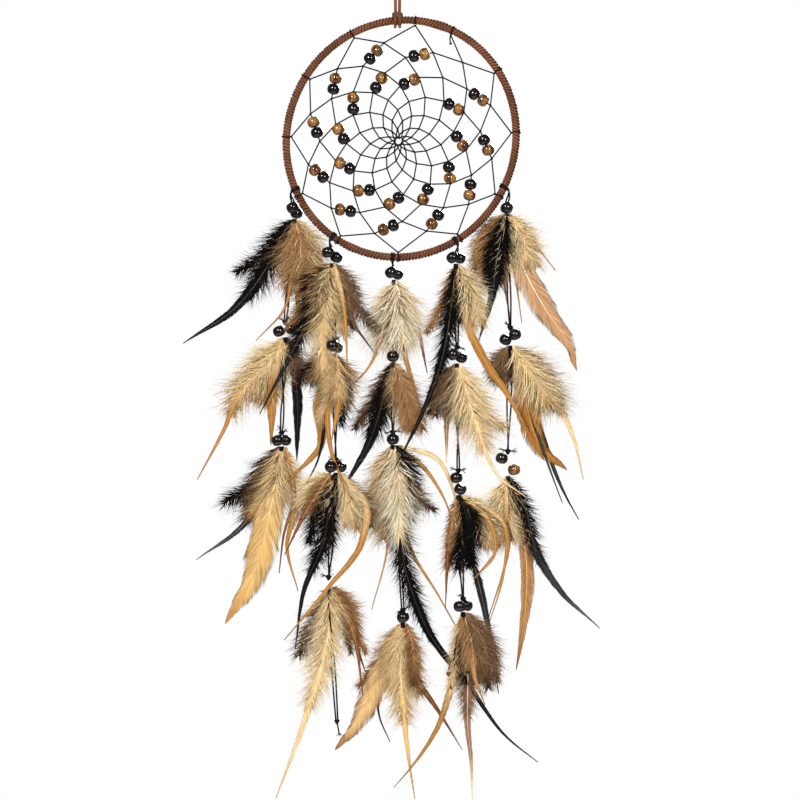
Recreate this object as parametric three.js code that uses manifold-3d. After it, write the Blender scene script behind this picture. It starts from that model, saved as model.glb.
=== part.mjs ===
// Dream catcher: a lace-wrapped oval hoop on a lace hanger, a knotted thread web with beads threaded on it,
// and five beaded cord drops that carry feathers.
// Millimetres, +Z up, X across the hoop, Y through it. The origin is the inside top of the hanging loop.
import * as THREE from 'three';
import * as BufferGeometryUtils from 'three/addons/utils/BufferGeometryUtils.js';
import Module from 'manifold-3d';

const wasm = await Module();
wasm.setup();

// Driving dimensions.
const GAP = 0.35; // clearance between touching pieces
const HOOP_DROP = 157; // hanging point down to the hoop's centre
const HANGER_ASIDE = 3.1; // the hanger is tied this far to the left of the hoop's centre
const HOOP_RADIUS = 98.2; // mean radius of the hoop's centreline
const HOOP_OVAL = 2.5; // how far the hand-bent hoop is out of round
const HOOP_TILT = 26; // its long axis, degrees clockwise from the top
const CORE_RADIUS = 2.0;
const WRAP_RADIUS = 3.15; // outside of the lace wound round the core
const LACE_WIDTH = 3.2;
const KNOT_WIDTH = 10;
const KNOT_RADIUS = 5.8;
const KNOT_EDGE = 1.2; // bevel on the knot's ends
const KNOT_SIDES = 16;
const THREAD = 0.7; // web thread
const ANCHORS = [25.5, 55, 87, 120.5, 149.5, 181.5, 212, 241, 271, 303, 335, 367]; // degrees clockwise from the top
const WEB_CENTRE = [-2.4, -2.5]; // x and z of the web's middle from the hoop's centre
const HITCH_AT = 0.46; // where along a span of the round before each hitch sits
const PULLS = [10.7, 9.1, 8.5, 9.6, 8.7, 9.3, 7]; // how far a hitch is drawn in, at the start of each round
const MOST_PULL = 0.42; // and never more than this share of its distance from the middle
const WEB_EYE = 2.6; // radius of the hole left in the middle
const BEAD_RADIUS = 5.2;
const BEAD_HALF_LENGTH = 4.6; // along the hole
const BEAD_SIDES = 8;
const BEAD_RINGS = 5;
const CORD = 2.4; // two waxed cords lying side by side
const TIE_CORD = 1.2;
const TIE_SIDES = 12;
const DROP_PLANE = 5; // alternate drops hang this far behind and in front of the hoop
const BLADE = 1.6; // thickness of the plain solid that stands for a feather
const QUILL = 1.4; // its width at the quill
const BLADE_ROOM = 0.45; // between a blade and the cord beside it
const BLADE_STEPS = 6;
const COLLAR_RADIUS = 3.4; // the bound quill ends under a pair of beads
const COLLAR_BORE = 2.5;
const COLLAR_HEIGHT = 6;
const SWING_ROOM = 0.9; // more room above a collar, so that it can tip under its beads
const KNOT_REACH = 3; // a knot with no beads ends this far from its middle

const rad = THREE.MathUtils.degToRad;

const finish = (color, roughness, metalness = 0) => new THREE.MeshStandardMaterial({ color, roughness, metalness });
const suede = finish(0x5b3d2c, 0.9);
const wood = finish(0x9b7a4e, 0.8);
const waxedThread = finish(0x17130f, 0.6);
const blackBead = finish(0x100c0b, 0.15);
const feather = {
  black: finish(0x1b1714, 0.7),
  golden: finish(0xb98a45, 0.7),
  cream: finish(0xe6dcc8, 0.8),
};

const dreamCatcher = new THREE.Group();

function addPiece(group, name, geometry, material) {
  const mesh = new THREE.Mesh(geometry, material);
  mesh.name = name;
  group.add(mesh);
}

// Solids for joining and cutting. Joined faces that lie in one plane within FLATNESS become one face again.
const FLATNESS = 0.02;

function toSolid(geometry) {
  const bare = geometry.clone();
  bare.deleteAttribute('normal');
  bare.deleteAttribute('uv');
  const merged = BufferGeometryUtils.mergeVertices(bare, 1e-4);
  const mesh = new wasm.Mesh({
    numProp: 3,
    vertProperties: new Float32Array(merged.attributes.position.array),
    triVerts: new Uint32Array(merged.index.array),
  });
  return new wasm.Manifold(mesh);
}

function toGeometry(solid) {
  const mesh = solid.asOriginal().simplify(FLATNESS).getMesh();
  const geometry = new THREE.BufferGeometry();
  geometry.setAttribute('position', new THREE.BufferAttribute(mesh.vertProperties, mesh.numProp));
  geometry.setIndex(new THREE.BufferAttribute(mesh.triVerts, 1));
  return geometry;
}

const joined = (geometries) => toGeometry(wasm.Manifold.union(geometries.map(toSolid)));

// The hoop. Angles run clockwise from the top, as seen from the front.
const hoopRadius = (angle) => HOOP_RADIUS + HOOP_OVAL * Math.cos(2 * rad(angle - HOOP_TILT));

function onHoop(angle, radius, y = 0) {
  return new THREE.Vector3(radius * Math.sin(rad(angle)), y, radius * Math.cos(rad(angle)));
}

const HOOP_STEPS = 52;
const TUBE_SIDES = 8;

function ovalRing(tubeRadius) {
  const ring = new THREE.TorusGeometry(HOOP_RADIUS, tubeRadius, TUBE_SIDES, HOOP_STEPS);
  ring.rotateX(Math.PI / 2);
  const places = ring.attributes.position;
  for (let i = 0; i < places.count; i += 1) {
    const p = new THREE.Vector3().fromBufferAttribute(places, i);
    const angle = THREE.MathUtils.radToDeg(Math.atan2(p.x, p.z));
    const flat = Math.hypot(p.x, p.z);
    const moved = onHoop(angle, flat + hoopRadius(angle) - HOOP_RADIUS, p.y);
    places.setXYZ(i, moved.x, moved.y, moved.z);
  }
  return ring;
}

const hoop = new THREE.Group();
hoop.position.set(HANGER_ASIDE, 0, -HOOP_DROP);
dreamCatcher.add(hoop);

addPiece(hoop, 'hoop_core', ovalRing(CORE_RADIUS), wood);

// Where the hanger is tied: its angle on the hoop, and its height above the hoop's centre.
const knotAngle = -THREE.MathUtils.radToDeg(Math.asin(HANGER_ASIDE / hoopRadius(0)));
const knotHeight = hoopRadius(knotAngle) * Math.cos(rad(knotAngle));

// The wrap is a sleeve on the core, open under the hanger knot where the lace's two ends meet.
function hoopWrap() {
  const sleeve = toSolid(ovalRing(WRAP_RADIUS)).subtract(toSolid(ovalRing(CORE_RADIUS + GAP)));
  const opening = new THREE.BoxGeometry(KNOT_WIDTH / 2, 4 * WRAP_RADIUS, 4 * WRAP_RADIUS);
  opening.translate(-HANGER_ASIDE, 0, knotHeight);
  return toGeometry(sleeve.subtract(toSolid(opening)));
}
addPiece(hoop, 'hoop_wrap', hoopWrap(), suede);

// A straight bar from a to b with a square section.
function bar(a, b, side) {
  const along = new THREE.Vector3().subVectors(b, a);
  const geometry = new THREE.BoxGeometry(side, side, along.length() + side);
  const turn = new THREE.Quaternion().setFromUnitVectors(new THREE.Vector3(0, 0, 1), along.clone().normalize());
  geometry.applyQuaternion(turn);
  const middle = a.clone().lerp(b, 0.5);
  geometry.translate(middle.x, middle.y, middle.z);
  return geometry;
}

// The web: one thread goes round and round, each hitch pulling a span of the round before towards the middle.
function pullAt(round) {
  const k = Math.min(Math.floor(round), PULLS.length - 1);
  return THREE.MathUtils.lerp(PULLS[k], PULLS[Math.min(k + 1, PULLS.length - 1)], Math.min(round, PULLS.length - 1) - k);
}

function webHitches() {
  const middle = new THREE.Vector3(WEB_CENTRE[0], 0, WEB_CENTRE[1]);
  const hitches = ANCHORS.map((angle) => onHoop(angle, hoopRadius(angle) - WRAP_RADIUS - GAP - THREAD));
  for (;;) {
    const j = hitches.length;
    const reach = hitches[j - ANCHORS.length].clone().lerp(hitches[j - ANCHORS.length + 1], HITCH_AT).sub(middle);
    const far = reach.length();
    const radius = far - Math.min(pullAt(j / ANCHORS.length - 1), MOST_PULL * far);
    if (radius < WEB_EYE) return hitches;
    hitches.push(middle.clone().add(reach.setLength(radius)));
  }
}

function threadedBead(from, to, place) {
  const along = new THREE.Vector3().subVectors(to, from).normalize();
  const geometry = new THREE.SphereGeometry(BEAD_RADIUS, BEAD_SIDES, BEAD_RINGS);
  geometry.scale(1, BEAD_HALF_LENGTH / BEAD_RADIUS, 1);
  geometry.applyQuaternion(new THREE.Quaternion().setFromUnitVectors(new THREE.Vector3(0, 1, 0), along));
  const middle = from.clone().addScaledVector(along, place);
  geometry.translate(middle.x, middle.y, middle.z);
  return geometry;
}

function beadedWeb() {
  const hitches = webHitches();
  const pieces = [];
  hitches.forEach((hitch, j) => {
    if (j + 1 >= hitches.length) return;
    const inner = hitches[j + ANCHORS.length];
    if (inner) {
      pieces.push(bar(hitch, inner, THREAD), bar(inner, hitches[j + 1], THREAD));
    } else {
      pieces.push(bar(hitch, hitches[j + 1], THREAD));
    }
  });
  // An amber bead and a black one share each of these spans, side by side.
  const beadedSpans = [];
  for (let k = 0; k < ANCHORS.length - 1; k += 1) beadedSpans.push(ANCHORS.length + 1 + k, 3 * ANCHORS.length + k);
  beadedSpans.forEach((j) => {
    const from = hitches[j];
    const to = hitches[j + ANCHORS.length - 1];
    const slack = Math.max(from.distanceTo(to) - 4 * BEAD_HALF_LENGTH, 0) / 2;
    pieces.push(threadedBead(from, to, slack + BEAD_HALF_LENGTH), threadedBead(from, to, slack + 3 * BEAD_HALF_LENGTH));
  });
  return joined(pieces);
}
addPiece(hoop, 'beaded_web', beadedWeb(), waxedThread);

// The hanger: a lace doubled through itself round the hoop, and its loop above.
const topZ = knotHeight - HOOP_DROP;

function hangerKnot() {
  const bore = WRAP_RADIUS + 3 * GAP;
  const half = KNOT_WIDTH / 2;
  const profile = [
    [bore, -half],
    [KNOT_RADIUS - KNOT_EDGE, -half],
    [KNOT_RADIUS, -half + KNOT_EDGE],
    [KNOT_RADIUS, half - KNOT_EDGE],
    [KNOT_RADIUS - KNOT_EDGE, half],
    [bore, half],
    [bore, -half],
  ].map(([r, y]) => new THREE.Vector2(r, y));
  const knot = new THREE.LatheGeometry(profile, KNOT_SIDES);
  knot.rotateZ(Math.PI / 2);
  knot.translate(0, 0, topZ);
  return knot;
}
addPiece(dreamCatcher, 'hanger_knot', hangerKnot(), suede);

function roundSection(diameter, sides) {
  const outline = [];
  for (let i = 0; i < sides; i += 1) {
    const turn = (2 * Math.PI * i) / sides;
    outline.push(new THREE.Vector2((diameter / 2) * Math.cos(turn), (diameter / 2) * Math.sin(turn)));
  }
  return new THREE.Shape(outline);
}

// A cord along a smooth curve through the points, with a step about every three diameters.
function cordAlong(points, diameter) {
  const route = new THREE.CatmullRomCurve3(points, false, 'centripetal');
  const steps = Math.max(4, Math.round(route.getLength() / (3 * diameter)));
  return new THREE.ExtrudeGeometry(roundSection(diameter, TUBE_SIDES), { steps, bevelEnabled: false, extrudePath: route });
}

function hangerLoop() {
  const foot = topZ + KNOT_RADIUS + GAP;
  const lace = LACE_WIDTH;
  const spread = lace / 2 + 0.4;
  const points = [
    [-spread, foot],
    [-spread - 0.4, foot * 0.6],
    [-spread - 0.8, foot * 0.2],
    [-spread, 0],
    [0, lace / 2],
    [spread, 0],
    [spread + 0.8, foot * 0.2],
    [spread + 0.4, foot * 0.6],
    [spread, foot],
  ].map(([x, z]) => new THREE.Vector3(x, 0, z));
  return cordAlong(points, lace - 2 * GAP);
}
addPiece(dreamCatcher, 'hanger_loop', hangerLoop(), suede);

// The drops. Each hub is the middle of a pair of beads, as [x, z] from the hoop's centre, and lean is the way from
// the hub to the first bead's centre as seen from the front; the rest of the pair's distance is fore and aft.
// A blade is [x and z of its tip from the hub, width, bow to the left, side: 1 behind the cord, -1 in front].
const drops = [
  {
    angle: 244.4,
    plane: DROP_PLANE,
    levels: [
      { hub: [-90, -60], lean: [-1.5, 2.1], blades: [[-94, -114, 18, -16, 1], [-12, -86, 16, 0, -1]] },
      { hub: [-98, -161], lean: [-5, -1], blades: [[-74, -126, 18, -6, 1], [8, -84, 13, -2, -1]] },
      {
        hub: [-101, -254],
        lean: [-3, 0],
        blades: [[-47, -154, 30, -12, -1], [-72, -101, 18, -5, 1], [14, -127, 14, 4, 1]],
      },
    ],
  },
  {
    angle: 215,
    plane: -DROP_PLANE,
    levels: [
      { hub: [-58, -98], lean: [-3.4, 2], blades: [[-11, -64, 14, 3, 1], [14, -62, 14, -3, -1]] },
      { hub: [-56, -175], lean: [-1.7, 0.8], blades: [[4, -88, 20, 2, -1], [-13, -86, 12, 3, 1]] },
      { hub: [-55, -276], lean: [-4, 0], blades: [[-14, -86, 16, 2, 1], [14, -84, 14, -4, -1]] },
      { hub: [-61, -373], blades: [[-44, -181, 22, -10, -1], [22, -90, 14, -2, 1]] },
    ],
    tail: [-54, -490],
  },
  {
    angle: 184.1,
    plane: DROP_PLANE,
    levels: [
      { hub: [-6, -113], lean: [-2.6, 0.5], blades: [[-5, -58, 26, 0, -1], [13, -57, 14, -3, 1]] },
      { hub: [-7, -183], lean: [0, 0], blades: [[-10, -58, 16, 4, 1], [13, -58, 16, -3, -1]] },
      { hub: [-7, -253], lean: [0, 0], blades: [[-5, -112, 26, 0, -1], [17, -134, 12, -3, 1]] },
      { hub: [1.5, -403], lean: [0, 0], blades: [[10, -153, 18, 6, -1], [-27, -112, 14, 4, 1]] },
    ],
  },
  {
    angle: 152,
    plane: -DROP_PLANE,
    levels: [
      { hub: [46, -100.5], lean: [-3, 0], blades: [[-12, -70, 14, 2, 1], [14, -70, 12, -2, -1]] },
      { hub: [47, -183], lean: [-3.4, 1.2], blades: [[12, -92, 18, -2, -1], [-14, -82, 14, 2, 1]] },
      { hub: [48, -290], lean: [-1.7, 4.8], blades: [[-6, -88, 18, 3, -1], [16, -88, 10, -2, 1]] },
      { hub: [52, -393], lean: [-3, 0], blades: [[8, -164, 18, -3, 1], [-22, -150, 14, 3, -1]] },
    ],
    tail: [40, -450],
  },
  {
    angle: 115.2,
    plane: DROP_PLANE,
    levels: [
      { hub: [89, -58], lean: [0, 0], blades: [[-12, -98, 16, 2, 1], [60, -137, 24, 12, -1]] },
      { hub: [92, -167], lean: [3.9, 2.1], blades: [[62, -120, 26, 8, -1], [-8, -86, 16, 1, 1]] },
      {
        hub: [90, -274],
        lean: [5.2, -4.8],
        blades: [[77, -138, 18, 4, 1], [7, -174, 16, 4, -1], [-17, -95, 12, 2, 1]],
      },
    ],
  },
];

// A plain feather: a flat blade along a bowed spine, narrow at the quill and the tip and widest past the middle.
function featherBlade(root, tip, width, bow, y) {
  const along = new THREE.Vector2().subVectors(tip, root);
  const left = new THREE.Vector2(along.y, -along.x).normalize();
  const middle = root.clone().lerp(tip, 0.5).addScaledVector(left, bow);
  const spine = new THREE.QuadraticBezierCurve(root, middle, tip);
  const edges = [[], []];
  for (let i = 0; i <= BLADE_STEPS; i += 1) {
    const t = i / BLADE_STEPS;
    const half = QUILL / 2 + ((width - QUILL) / 2) * Math.sin(Math.PI * t ** 0.8) ** 0.8;
    const tangent = spine.getTangent(t);
    const out = new THREE.Vector2(-tangent.y, tangent.x).multiplyScalar(half);
    edges[0].push(spine.getPoint(t).add(out));
    edges[1].unshift(spine.getPoint(t).sub(out));
  }
  const outline = new THREE.Shape([...edges[0], ...edges[1]]);
  const blade = new THREE.ExtrudeGeometry(outline, { depth: BLADE, bevelEnabled: false });
  blade.rotateX(Math.PI / 2);
  blade.translate(0, y + BLADE / 2, 0);
  return blade;
}

// How far a pair of beads, or a bare knot, reaches above and below its hub, with its clearance.
const reachOf = (lean) => (lean ? Math.abs(lean[1]) + BEAD_HALF_LENGTH : KNOT_REACH) + GAP;

function collar(hub, top) {
  const profile = [
    [COLLAR_BORE, -top],
    [COLLAR_BORE, -top - COLLAR_HEIGHT],
    [COLLAR_RADIUS, -top - COLLAR_HEIGHT],
    [COLLAR_RADIUS, -top],
    [COLLAR_BORE, -top],
  ].map(([r, y]) => new THREE.Vector2(r, y));
  const ring = new THREE.LatheGeometry(profile, TUBE_SIDES);
  ring.rotateX(Math.PI / 2);
  ring.translate(hub.x, hub.y, hub.z);
  return ring;
}

function featherBunch(hub, top, blades) {
  const pieces = [collar(hub, top)];
  const quillZ = hub.z - top - COLLAR_HEIGHT / 2;
  blades.forEach(([tipX, tipZ, width, bow, side]) => {
    const root = new THREE.Vector2(hub.x, quillZ);
    const tip = new THREE.Vector2(hub.x + tipX, hub.z + tipZ);
    const y = hub.y + side * (CORD / 2 + BLADE_ROOM + BLADE / 2);
    pieces.push(featherBlade(root, tip, width, bow, y));
  });
  return joined(pieces);
}

function bead(middle) {
  const ball = new THREE.SphereGeometry(BEAD_RADIUS, BEAD_SIDES, BEAD_RINGS);
  ball.rotateX(Math.PI / 2);
  ball.scale(1, 1, BEAD_HALF_LENGTH / BEAD_RADIUS);
  ball.translate(middle.x, middle.y, middle.z);
  return ball;
}

// Two beads tied side by side, with the knot between them.
function beadPair(hub, [leanX, leanZ]) {
  const depth = Math.sqrt(Math.max(BEAD_RADIUS ** 2 - leanX ** 2 - leanZ ** 2, 0));
  const reach = new THREE.Vector3(leanX, -depth, leanZ);
  const first = hub.clone().add(reach);
  const second = hub.clone().sub(reach);
  return joined([bead(first), bead(second), bar(first, second, CORD)]);
}

// A cord turned once round the hoop, where a drop is tied on.
function tieRing(angle) {
  const bore = WRAP_RADIUS + 2 * GAP;
  const outer = bore + TIE_CORD;
  const half = TIE_CORD;
  const profile = [
    [bore, -half],
    [outer, -half],
    [outer, half],
    [bore, half],
    [bore, -half],
  ].map(([r, y]) => new THREE.Vector2(r, y));
  const ring = new THREE.LatheGeometry(profile, TIE_SIDES);
  ring.rotateZ(Math.PI / 2);
  ring.rotateY(rad(angle));
  const place = onHoop(angle, hoopRadius(angle));
  ring.translate(place.x, place.y, place.z);
  return ring;
}

// A drop's cord leaves a knot straight down, and then hangs on to the next one.
function dropCord(from, to) {
  const below = new THREE.Vector3(from.x, from.y, from.z - COLLAR_HEIGHT - SWING_ROOM);
  const later = below.clone().lerp(to, 0.5);
  return cordAlong([from, below, later, to], CORD);
}

drops.forEach(({ angle, plane, levels, tail }, index) => {
  const name = `drop_${index + 1}`;
  const looks = [feather.black, feather.golden, feather.cream];
  addPiece(hoop, `${name}_tie`, tieRing(angle), waxedThread);
  const hubs = levels.map(({ hub }) => new THREE.Vector3(hub[0], plane, hub[1]));
  levels.forEach(({ lean, blades }, k) => {
    const hub = hubs[k];
    if (lean) addPiece(hoop, `${name}_beads_${k + 1}`, beadPair(hub, lean), blackBead);
    const bunch = featherBunch(hub, reachOf(lean) + SWING_ROOM, blades);
    addPiece(hoop, `${name}_feathers_${k + 1}`, bunch, looks[(index + k) % looks.length]);
    const start = new THREE.Vector3(hub.x, hub.y, hub.z - reachOf(lean));
    const next = hubs[k + 1];
    if (next) {
      const stop = new THREE.Vector3(next.x, next.y, next.z + reachOf(levels[k + 1].lean));
      addPiece(hoop, `${name}_cord_${k + 1}`, dropCord(start, stop), waxedThread);
    } else if (tail) {
      addPiece(hoop, `${name}_tail`, dropCord(start, new THREE.Vector3(tail[0], plane, tail[1])), waxedThread);
    }
  });
});

export default dreamCatcher;
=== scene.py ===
"""A hanging dream catcher: a lace-wrapped hoop, a beaded thread web, and five drops of beads and
feathers."""

import math

import bpy
import numpy as np
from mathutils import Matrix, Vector


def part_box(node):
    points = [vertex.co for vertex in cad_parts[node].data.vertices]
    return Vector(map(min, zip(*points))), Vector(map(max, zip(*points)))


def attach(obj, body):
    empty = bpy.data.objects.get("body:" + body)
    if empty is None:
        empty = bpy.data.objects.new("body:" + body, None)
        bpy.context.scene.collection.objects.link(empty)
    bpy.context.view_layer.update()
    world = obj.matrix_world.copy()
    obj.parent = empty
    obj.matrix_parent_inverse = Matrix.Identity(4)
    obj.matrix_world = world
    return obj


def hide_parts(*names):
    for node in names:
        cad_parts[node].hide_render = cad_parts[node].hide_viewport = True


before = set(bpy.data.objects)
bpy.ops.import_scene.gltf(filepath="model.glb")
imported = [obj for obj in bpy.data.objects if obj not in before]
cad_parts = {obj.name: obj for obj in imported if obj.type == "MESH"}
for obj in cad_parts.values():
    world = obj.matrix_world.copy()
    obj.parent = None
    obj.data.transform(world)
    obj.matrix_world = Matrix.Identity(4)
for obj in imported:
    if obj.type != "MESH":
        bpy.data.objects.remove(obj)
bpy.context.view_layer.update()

MM = 0.001
FULL_TURN = 2 * np.pi
RIGHT = np.array([1.0, 0.0, 0.0])
FRONT = np.array([0.0, -1.0, 0.0])  # towards the viewer
DOWN = np.array([0.0, 0.0, -1.0])
RNG = np.random.default_rng(7)

# The design's dimensions, in metres and degrees. Angles on the hoop are clockwise from its top.
HOOP_RADIUS = 98.2 * MM  # the mean radius of its centreline
HOOP_OVAL = 2.5 * MM  # how much further out it is at its widest
HOOP_TILT = 26.0  # where it is widest
WRAP_RADIUS = 3.3 * MM  # the hoop's tube, with its lace
LACE_WIDTH = 2.9 * MM
LACE_THICKNESS = 1.2 * MM
LACE_TURNS = 236
LACE_SLANT = 1.1 * MM  # how far each turn goes along the hoop to either side
THREAD_RADIUS = 0.66 * MM
CORD_DIAMETER = 1.6 * MM
BEAD_RADIUS = 5.2 * MM
BEAD_HALF_LENGTH = 4.6 * MM
# Where the web's thread is turned round the hoop.
ANCHORS = np.array([25.5, 55, 87, 120.5, 149.5, 181.5, 212, 241, 271, 303, 335, 367])
WEB_CENTRE = np.array([-2.4, 0.0, -2.5]) * MM
WEB_EYE = 2.6 * MM  # the radius of the hole left in the middle
HITCH_AT = 0.46  # how far along a span the next hitch sits
PULLS = np.array([10.7, 9.1, 8.5, 9.6, 8.7, 9.3, 7.0]) * MM  # how far each round draws a span in
MOST_PULL = 0.42  # the most of its way to the middle that a hitch is drawn in
DEPTH = 23.0 * MM  # no barb stands further than this from the hoop's plane

HOOP = np.mean(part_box("hoop_core"), axis=0)
KNOT = np.mean(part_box("hanger_knot"), axis=0)
KNOT_ANGLE = math.degrees(math.atan2(KNOT[0] - HOOP[0], KNOT[2] - HOOP[2]))


# ---------------- mesh making

def unit(v):
    return v / np.maximum(np.linalg.norm(v, axis=-1, keepdims=True), 1e-12)


def far_along(path):
    """How far along its path each point is."""
    return np.concatenate([[0], np.cumsum(np.linalg.norm(np.diff(path, axis=0), axis=1))])


def circle(count):
    """Angles evenly round a circle, without the last one that is the first again."""
    return np.arange(count) * FULL_TURN / count


def turned(x, y, angle):
    """The pair (x, y) turned by an angle."""
    return x * np.cos(angle) - y * np.sin(angle), x * np.sin(angle) + y * np.cos(angle)


def fit(piece, body, stands_for=None):
    """Says which body a piece rides on and which CAD node it is shown for."""
    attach(piece, body)
    if stands_for:
        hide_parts(stands_for)
    return piece


def add_piece(name, points, faces, materials, smooth=True, attributes=(), slots=None):
    """A mesh object from points and a list of index arrays, one array for each number of corners."""
    points = np.asarray(points, float).reshape(-1, 3)
    mesh = bpy.data.meshes.new(name)
    mesh.vertices.add(len(points))
    mesh.vertices.foreach_set("co", points.ravel())
    groups = [np.asarray(g) for g in faces if len(g)]
    corners = np.concatenate([g.ravel() for g in groups]).astype(np.int32)
    sizes = np.concatenate([np.full(len(g), g.shape[1]) for g in groups])
    mesh.loops.add(len(corners))
    mesh.loops.foreach_set("vertex_index", corners)
    mesh.polygons.add(len(sizes))
    mesh.polygons.foreach_set("loop_start", np.concatenate([[0], np.cumsum(sizes)[:-1]]).astype(np.int32))
    if slots is not None:
        mesh.polygons.foreach_set("material_index", slots.astype(np.int32))
    mesh.update(calc_edges=True)
    mesh.polygons.foreach_set("use_smooth", np.full(len(sizes), smooth))
    for key, values in attributes:
        kind = "FLOAT_VECTOR" if values.ndim == 2 else "FLOAT"
        made = mesh.attributes.new(key, kind, "POINT")
        made.data.foreach_set("vector" if values.ndim == 2 else "value", values.astype(np.float32).ravel())
    for material in materials:
        mesh.materials.append(material)
    piece = bpy.data.objects.new(name, mesh)
    bpy.context.scene.collection.objects.link(piece)
    return piece


def grid_faces(rows, columns, wrap_rows=False, wrap_columns=True):
    """Quads between neighbours of a rows by columns grid, as indices into its flattened points."""
    i = np.arange(rows if wrap_rows else rows - 1)[:, None]
    j = np.arange(columns if wrap_columns else columns - 1)[None, :]
    i2, j2 = (i + 1) % rows, (j + 1) % columns
    corners = [i * columns + j, i * columns + j2, i2 * columns + j2, i2 * columns + j]
    return np.stack(corners, axis=-1).reshape(-1, 4)



def curve_through(points, samples):
    """A smooth cubic through the points, its tangents from neighbouring points, sampled evenly by chord
    length."""
    points = np.asarray(points, float)
    at = far_along(points)
    slope = np.gradient(points, at, axis=0)
    s = np.linspace(0, at[-1], samples)
    k = np.clip(np.searchsorted(at, s, side="right") - 1, 0, len(at) - 2)
    h = (at[k + 1] - at[k])[:, None]
    t = (s - at[k])[:, None] / h
    return (
        (2 * t**3 - 3 * t**2 + 1) * points[k]
        + (t**3 - 2 * t**2 + t) * h * slope[k]
        + (3 * t**2 - 2 * t**3) * points[k + 1]
        + (t**3 - t**2) * h * slope[k + 1]
    )


def sweep(path, profile, reference, closed=False, twist=0.0, size=1.0):
    """Points of a profile carried along a path. Its x goes to the side, which is the reference made
    square to the path, and its y goes up, which is square to both.

    twist turns the profile, in radians, and size scales it, each as one value or one for each path
    point."""
    path = np.asarray(path, float)
    if closed:
        tangent = unit(np.roll(path, -1, axis=0) - np.roll(path, 1, axis=0))
    else:
        tangent = unit(np.gradient(path, axis=0))
    reference = np.broadcast_to(reference, path.shape)
    side = unit(reference - (reference * tangent).sum(1, keepdims=True) * tangent)
    up = np.cross(tangent, side)
    twist = np.broadcast_to(twist, len(path))[:, None]
    size = np.broadcast_to(size, len(path))[:, None, None]
    x, y = turned(profile[None, :, 0], profile[None, :, 1], twist)
    return path[:, None, :] + size * (x[..., None] * side[:, None, :] + y[..., None] * up[:, None, :])


def swept_faces(rows, columns, closed):
    """Side quads of a sweep, with a flat cap on each end of an open one."""
    sides = grid_faces(rows, columns, wrap_rows=closed)
    if closed:
        return [sides]
    rim = np.arange(columns)
    return [sides, np.stack([rim[::-1], rim + (rows - 1) * columns])]


def round_profile(radius, sides):
    """A circle, or any outline whose radius changes with its corner."""
    turn = circle(sides)
    return np.stack([radius * np.cos(turn), radius * np.sin(turn)], axis=1)


def strap_profile(width, thickness, power=0.3):
    """A strap's section, a superellipse: a low power makes it flat with round edges, and a high one makes
    it oval."""
    corners = 12
    turn = circle(corners) + np.pi / corners
    x, y = np.cos(turn), np.sin(turn)
    across = np.sign(x) * np.abs(x) ** power * width / 2
    through = np.sign(y) * np.abs(y) ** power * thickness / 2
    return np.stack([across, through], axis=1)


def merged(parts):
    """Several (points, faces) as one: each part's indices move past the points before it."""
    points = np.concatenate([p.reshape(-1, 3) for p, _ in parts])
    starts = np.cumsum([0] + [p.size // 3 for p, _ in parts])
    sizes = sorted({g.shape[1] for _, faces in parts for g in faces})
    moved = [g + start for start, (_, faces) in zip(starts, parts) for g in faces]
    return points, [np.concatenate([g for g in moved if g.shape[1] == size]) for size in sizes]


def tube(path, radius, reference, sides=6, closed=False):
    points = sweep(path, round_profile(radius, sides), reference, closed)
    return points, swept_faces(len(points), sides, closed)


def square_to(axis, askew):
    """Two directions square to an axis and to each other. askew is any direction but the axis."""
    start = unit(np.cross(axis, askew))
    return start, np.cross(axis, start)


def ring(middle, axis, radius, thick, steps=14, sides=6):
    """A closed tube in a circle about an axis."""
    start, across = square_to(unit(np.asarray(axis, float)), (0.31, 0.87, 0.38))
    turn = circle(steps)[:, None]
    path = middle + radius * (np.cos(turn) * start + np.sin(turn) * across)
    return tube(path, thick, path - middle, sides, closed=True)


# ---------------- materials

BLACK = (0.002, 0.002, 0.002)
COAL = (0.005, 0.004, 0.003)
UMBER = (0.032, 0.013, 0.007)
RUST = (0.160, 0.042, 0.010)
OCHRE = (0.210, 0.075, 0.012)
GOLD = (0.310, 0.130, 0.023)
TAN = (0.400, 0.210, 0.090)
FAWN = (0.580, 0.375, 0.170)
CREAM = (0.790, 0.590, 0.310)
IVORY = (0.850, 0.730, 0.500)
WHITE = (0.880, 0.830, 0.700)
TAUPE = (0.190, 0.105, 0.056)
SLATE = (0.030, 0.029, 0.030)
TEAL = (0.008, 0.016, 0.018)
AMBER_HORN = (0.430, 0.220, 0.060)
PALE_HORN = (0.680, 0.500, 0.260)


def new_material(name):
    material = bpy.data.materials.new(name)
    material.use_nodes = True
    tree = material.node_tree
    return material, tree, tree.nodes["Principled BSDF"]


def node(tree, kind, **settings):
    made = tree.nodes.new(kind)
    for key, value in settings.items():
        setattr(made, key, value)
    return made


def join(tree, value, socket):
    """Gives an input a socket's output or a plain value; a colour takes three numbers."""
    if isinstance(value, bpy.types.NodeSocket):
        tree.links.new(value, socket)
    else:
        socket.default_value = (*value, 1) if isinstance(value, tuple) else value


def mixed(tree, factor, a, b, blend="MIX"):
    """A colour mix; each of factor, a and b is a socket or a value."""
    mix = node(tree, "ShaderNodeMix", data_type="RGBA", blend_type=blend, clamp_factor=True)
    for socket, value in ((mix.inputs[0], factor), (mix.inputs[6], a), (mix.inputs[7], b)):
        join(tree, value, socket)
    return mix.outputs[2]


def maths(tree, operation, *values):
    made = node(tree, "ShaderNodeMath", operation=operation)
    for socket, value in zip(made.inputs, values):
        join(tree, value, socket)
    return made.outputs[0]


def ranged(tree, value, low, high, to_low=0.0, to_high=1.0):
    made = node(tree, "ShaderNodeMapRange", interpolation_type="SMOOTHSTEP")
    for socket, number in zip(made.inputs[1:5], (low, high, to_low, to_high)):
        socket.default_value = number
    tree.links.new(value, made.inputs[0])
    return made.outputs[0]


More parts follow.
